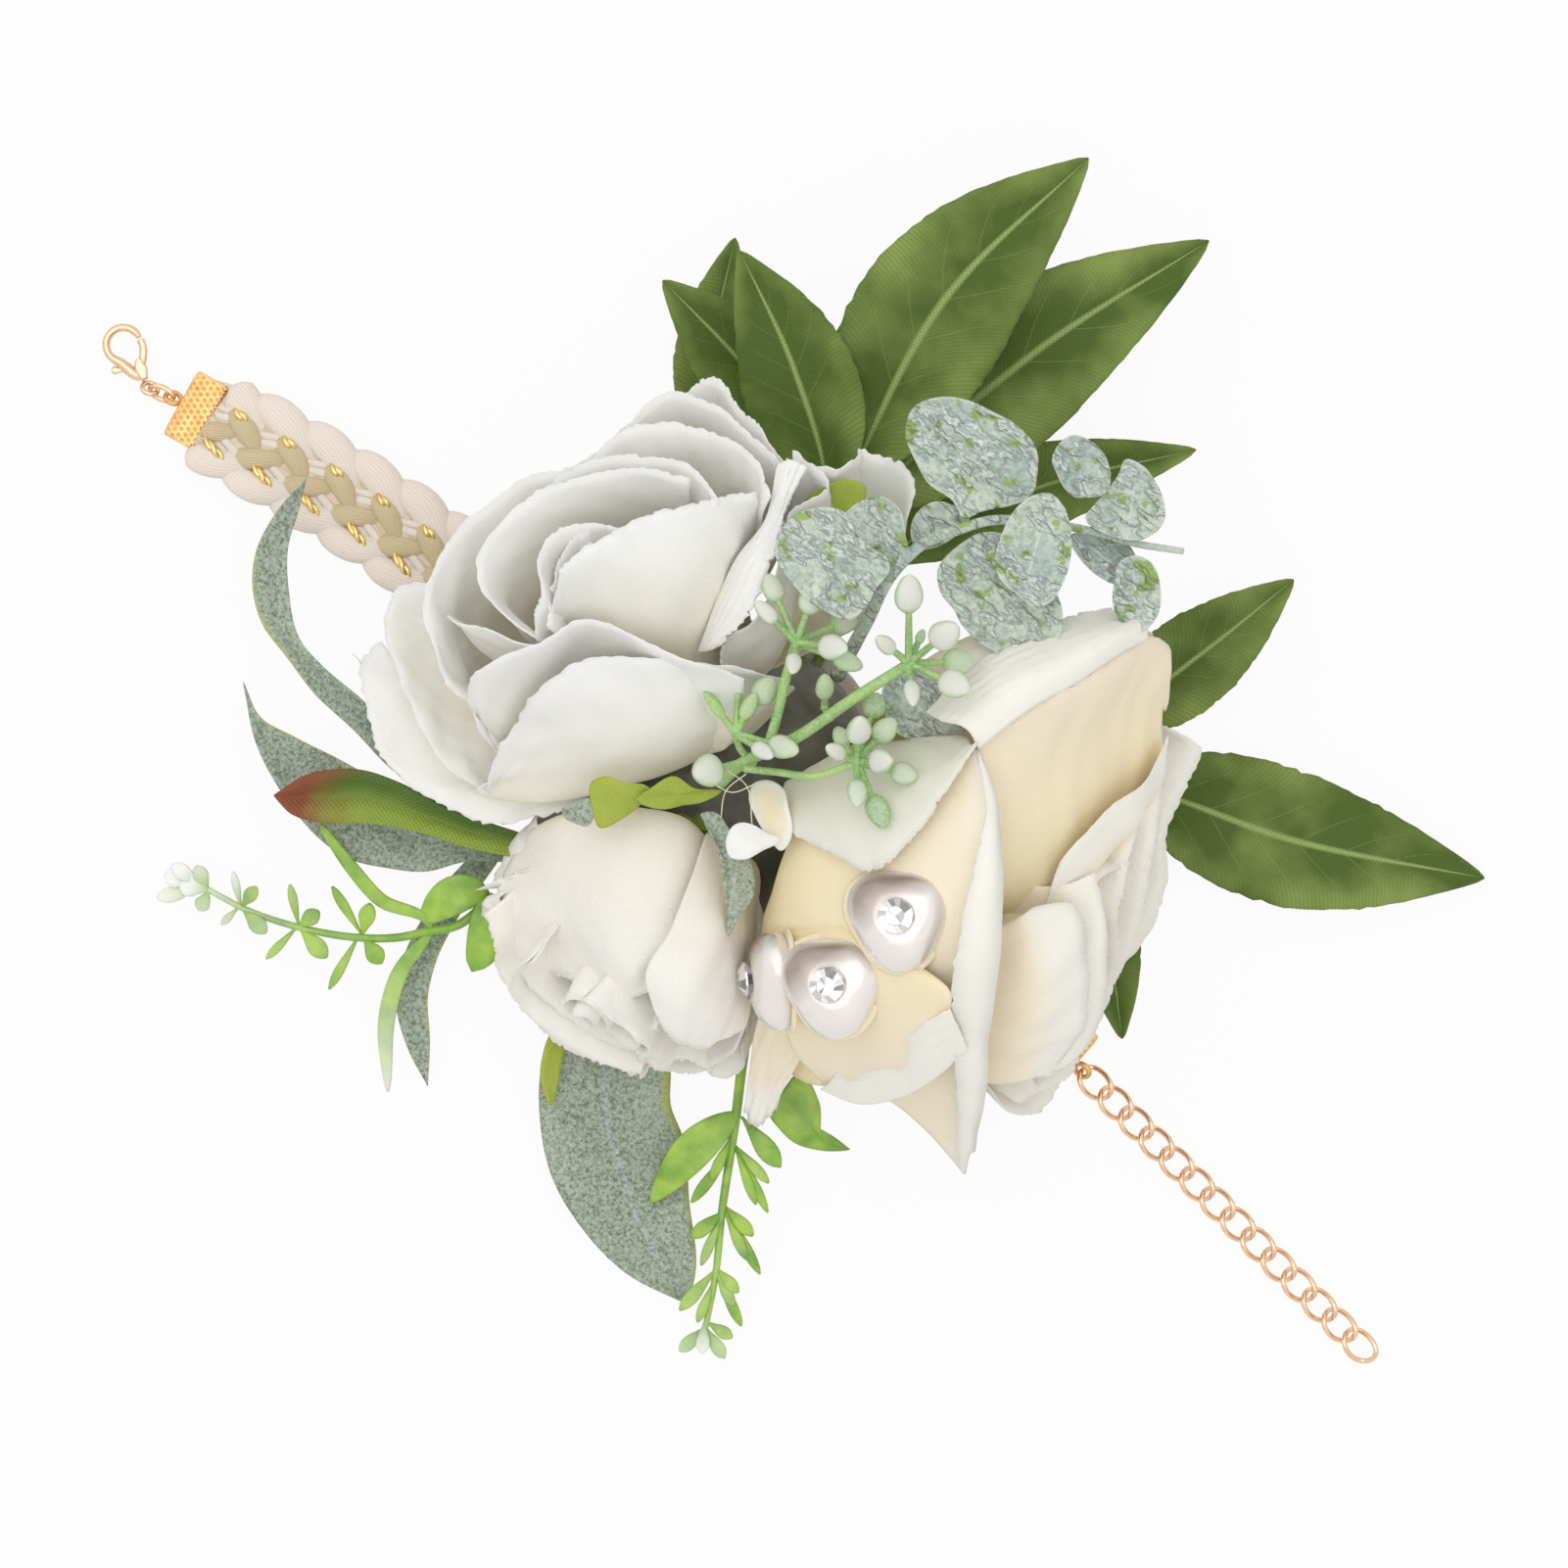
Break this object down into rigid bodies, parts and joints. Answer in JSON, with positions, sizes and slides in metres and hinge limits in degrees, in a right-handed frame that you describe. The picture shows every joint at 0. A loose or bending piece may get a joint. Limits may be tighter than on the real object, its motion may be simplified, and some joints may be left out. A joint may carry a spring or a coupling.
{
  "type": "wrist corsage",
  "caption": "Flat braided wristband with a lobster clasp and extender chain, carrying a spray of cloth roses, leaves, sprigs and bead pearls.",
  "frame": {"origin": "underside of the braided band, below the middle of the flower pad, where the part rests on a wrist or a table", "axes": "+X along the band toward the extender chain, +Y across the band toward the long green leaves, +Z away from the wrist through the flowers"},
  "size_m": [0.2074, 0.1515, 0.0528],
  "materials": {
    "braid": "woven cotton",
    "felt": "felt",
    "glue": "cured glue",
    "white_cloth": "stiffened cloth",
    "cream_cloth": "stiffened cloth",
    "ivory_cloth": "stiffened cloth",
    "calyx": "matte",
    "green_cloth": "printed cloth",
    "frosted_leaf": "flocked",
    "olive_leaf": "printed cloth",
    "sprig_plastic": "moulded",
    "eucalyptus_flock": "flocked",
    "berries": "moulded",
    "gold_plate": "bright plated",
    "rose_gold": "polished",
    "pearl": "pearl",
    "crystal": "cut and foiled"
  },
  "bodies": {
    "root": {"band_centre": "braid", "felt_pad": "felt", "glue_mound": "glue", "white_rose_calyx": "calyx", "white_rose_outer_petals": "white_cloth", "white_rose_inner_petals": "white_cloth", "white_rose_heart": "white_cloth", "cream_rose_calyx": "calyx", "cream_rose_outer_petals": "cream_cloth", "cream_rose_inner_petals": "cream_cloth", "cream_rose_heart": "cream_cloth", "ivory_rose_calyx": "calyx", "ivory_rose_petals": "ivory_cloth", "ivory_rose_heart": "ivory_cloth", "pearl_bead_1": "pearl", "pearl_bead_2": "pearl", "pearl_bead_3": "pearl", "bead_stone_1": "crystal", "bead_stone_2": "crystal", "bead_stone_3": "crystal", "green_leaf_1": "green_cloth", "green_leaf_2": "green_cloth", "green_leaf_3": "green_cloth", "green_leaf_4": "green_cloth", "green_leaf_5": "green_cloth", "green_leaf_6": "green_cloth", "green_leaf_7": "green_cloth", "green_leaf_8": "green_cloth", "green_leaf_9": "green_cloth", "frosted_spray": "frosted_leaf", "frosted_leaf": "frosted_leaf", "olive_leaf": "olive_leaf", "green_sprig_left": "sprig_plastic", "green_sprig_bottom": "sprig_plastic", "eucalyptus_sprig": "eucalyptus_flock", "berry_sprig": "berries"},
    "left_band": {"band_left_inner": "braid"},
    "left_band_end": {"band_left_outer": "braid", "left_crimp": "gold_plate"},
    "ring": {"clasp_ring": "rose_gold"},
    "clasp": {"clasp_body": "rose_gold", "clasp_pin": "rose_gold", "clasp_spring": "rose_gold"},
    "lever": {"clasp_lever": "rose_gold"},
    "right_band": {"band_right": "braid", "right_crimp": "gold_plate"},
    "link_01": {"chain_link_01": "rose_gold"},
    "link_02": {"chain_link_02": "rose_gold"},
    "link_03": {"chain_link_03": "rose_gold"},
    "link_04": {"chain_link_04": "rose_gold"},
    "link_05": {"chain_link_05": "rose_gold"},
    "link_06": {"chain_link_06": "rose_gold"},
    "link_07": {"chain_link_07": "rose_gold"},
    "link_08": {"chain_link_08": "rose_gold"},
    "link_09": {"chain_link_09": "rose_gold"},
    "link_10": {"chain_link_10": "rose_gold"},
    "link_11": {"chain_link_11": "rose_gold"},
    "link_12": {"chain_link_12": "rose_gold"},
    "link_13": {"chain_link_13": "rose_gold"},
    "link_14": {"chain_link_14": "rose_gold"}
  },
  "joints": [
    {"name": "left_band_bend", "type": "hinge", "parent": "root", "child": "left_band", "pos_m": [-0.02215, 0, 0], "axis": [0, -1, 0], "range_deg": [0, 80]},
    {"name": "left_end_bend", "type": "hinge", "parent": "left_band", "child": "left_band_end", "pos_m": [-0.05015, 0, 0], "axis": [0, -1, 0], "range_deg": [0, 45]},
    {"name": "ring_swing", "type": "hinge", "parent": "left_band_end", "child": "ring", "pos_m": [-0.08565, -0.0005, 0.0015], "axis": [-0.1591, 0.689, 0.7071], "range_deg": [-30, 30]},
    {"name": "clasp_swing", "type": "hinge", "parent": "ring", "child": "clasp", "pos_m": [-0.08877, -0.00122, 0.0015], "axis": [-0.1591, 0.689, 0.7071], "range_deg": [-30, 30]},
    {"name": "clasp_lever_press", "type": "hinge", "parent": "clasp", "child": "lever", "pos_m": [-0.09131, 0.00021, 0.0015], "axis": [0, 0, 1], "range_deg": [0, 20], "stiffness_Nm_per_rad": 0.0002, "deforming": ["clasp_spring"]},
    {"name": "right_band_bend", "type": "hinge", "parent": "root", "child": "right_band", "pos_m": [0.02215, 0, 0], "axis": [0, 1, 0], "range_deg": [0, 80]},
    {"name": "chain_swing_01", "type": "hinge", "parent": "right_band", "child": "link_01", "pos_m": [0.05825, -0.0035, 0.0015], "axis": [0.165, 0.9863, 0], "range_deg": [-8, 22]},
    {"name": "chain_swing_02", "type": "hinge", "parent": "link_01", "child": "link_02", "pos_m": [0.06234, -0.00418, 0.0015], "axis": [0.165, 0.9863, 0], "range_deg": [-8, 22]},
    {"name": "chain_swing_03", "type": "hinge", "parent": "link_02", "child": "link_03", "pos_m": [0.06594, -0.00479, 0.0015], "axis": [0.165, 0.9863, 0], "range_deg": [-8, 22]},
    {"name": "chain_swing_04", "type": "hinge", "parent": "link_03", "child": "link_04", "pos_m": [0.06954, -0.00539, 0.0015], "axis": [0.165, 0.9863, 0], "range_deg": [-8, 22]},
    {"name": "chain_swing_05", "type": "hinge", "parent": "link_04", "child": "link_05", "pos_m": [0.07314, -0.00599, 0.0015], "axis": [0.165, 0.9863, 0], "range_deg": [-8, 22]},
    {"name": "chain_swing_06", "type": "hinge", "parent": "link_05", "child": "link_06", "pos_m": [0.07674, -0.00659, 0.0015], "axis": [0.165, 0.9863, 0], "range_deg": [-8, 22]},
    {"name": "chain_swing_07", "type": "hinge", "parent": "link_06", "child": "link_07", "pos_m": [0.08034, -0.0072, 0.0015], "axis": [0.165, 0.9863, 0], "range_deg": [-8, 22]},
    {"name": "chain_swing_08", "type": "hinge", "parent": "link_07", "child": "link_08", "pos_m": [0.08394, -0.0078, 0.0015], "axis": [0.165, 0.9863, 0], "range_deg": [-8, 22]},
    {"name": "chain_swing_09", "type": "hinge", "parent": "link_08", "child": "link_09", "pos_m": [0.08754, -0.0084, 0.0015], "axis": [0.165, 0.9863, 0], "range_deg": [-8, 22]},
    {"name": "chain_swing_10", "type": "hinge", "parent": "link_09", "child": "link_10", "pos_m": [0.09114, -0.009, 0.0015], "axis": [0.165, 0.9863, 0], "range_deg": [-8, 22]},
    {"name": "chain_swing_11", "type": "hinge", "parent": "link_10", "child": "link_11", "pos_m": [0.09474, -0.00961, 0.0015], "axis": [0.165, 0.9863, 0], "range_deg": [-8, 22]},
    {"name": "chain_swing_12", "type": "hinge", "parent": "link_11", "child": "link_12", "pos_m": [0.09834, -0.01021, 0.0015], "axis": [0.165, 0.9863, 0], "range_deg": [-8, 22]},
    {"name": "chain_swing_13", "type": "hinge", "parent": "link_12", "child": "link_13", "pos_m": [0.10194, -0.01081, 0.0015], "axis": [0.165, 0.9863, 0], "range_deg": [-8, 22]},
    {"name": "chain_swing_14", "type": "hinge", "parent": "link_13", "child": "link_14", "pos_m": [0.10554, -0.01141, 0.0015], "axis": [0.165, 0.9863, 0], "range_deg": [-8, 22]}
  ]
}
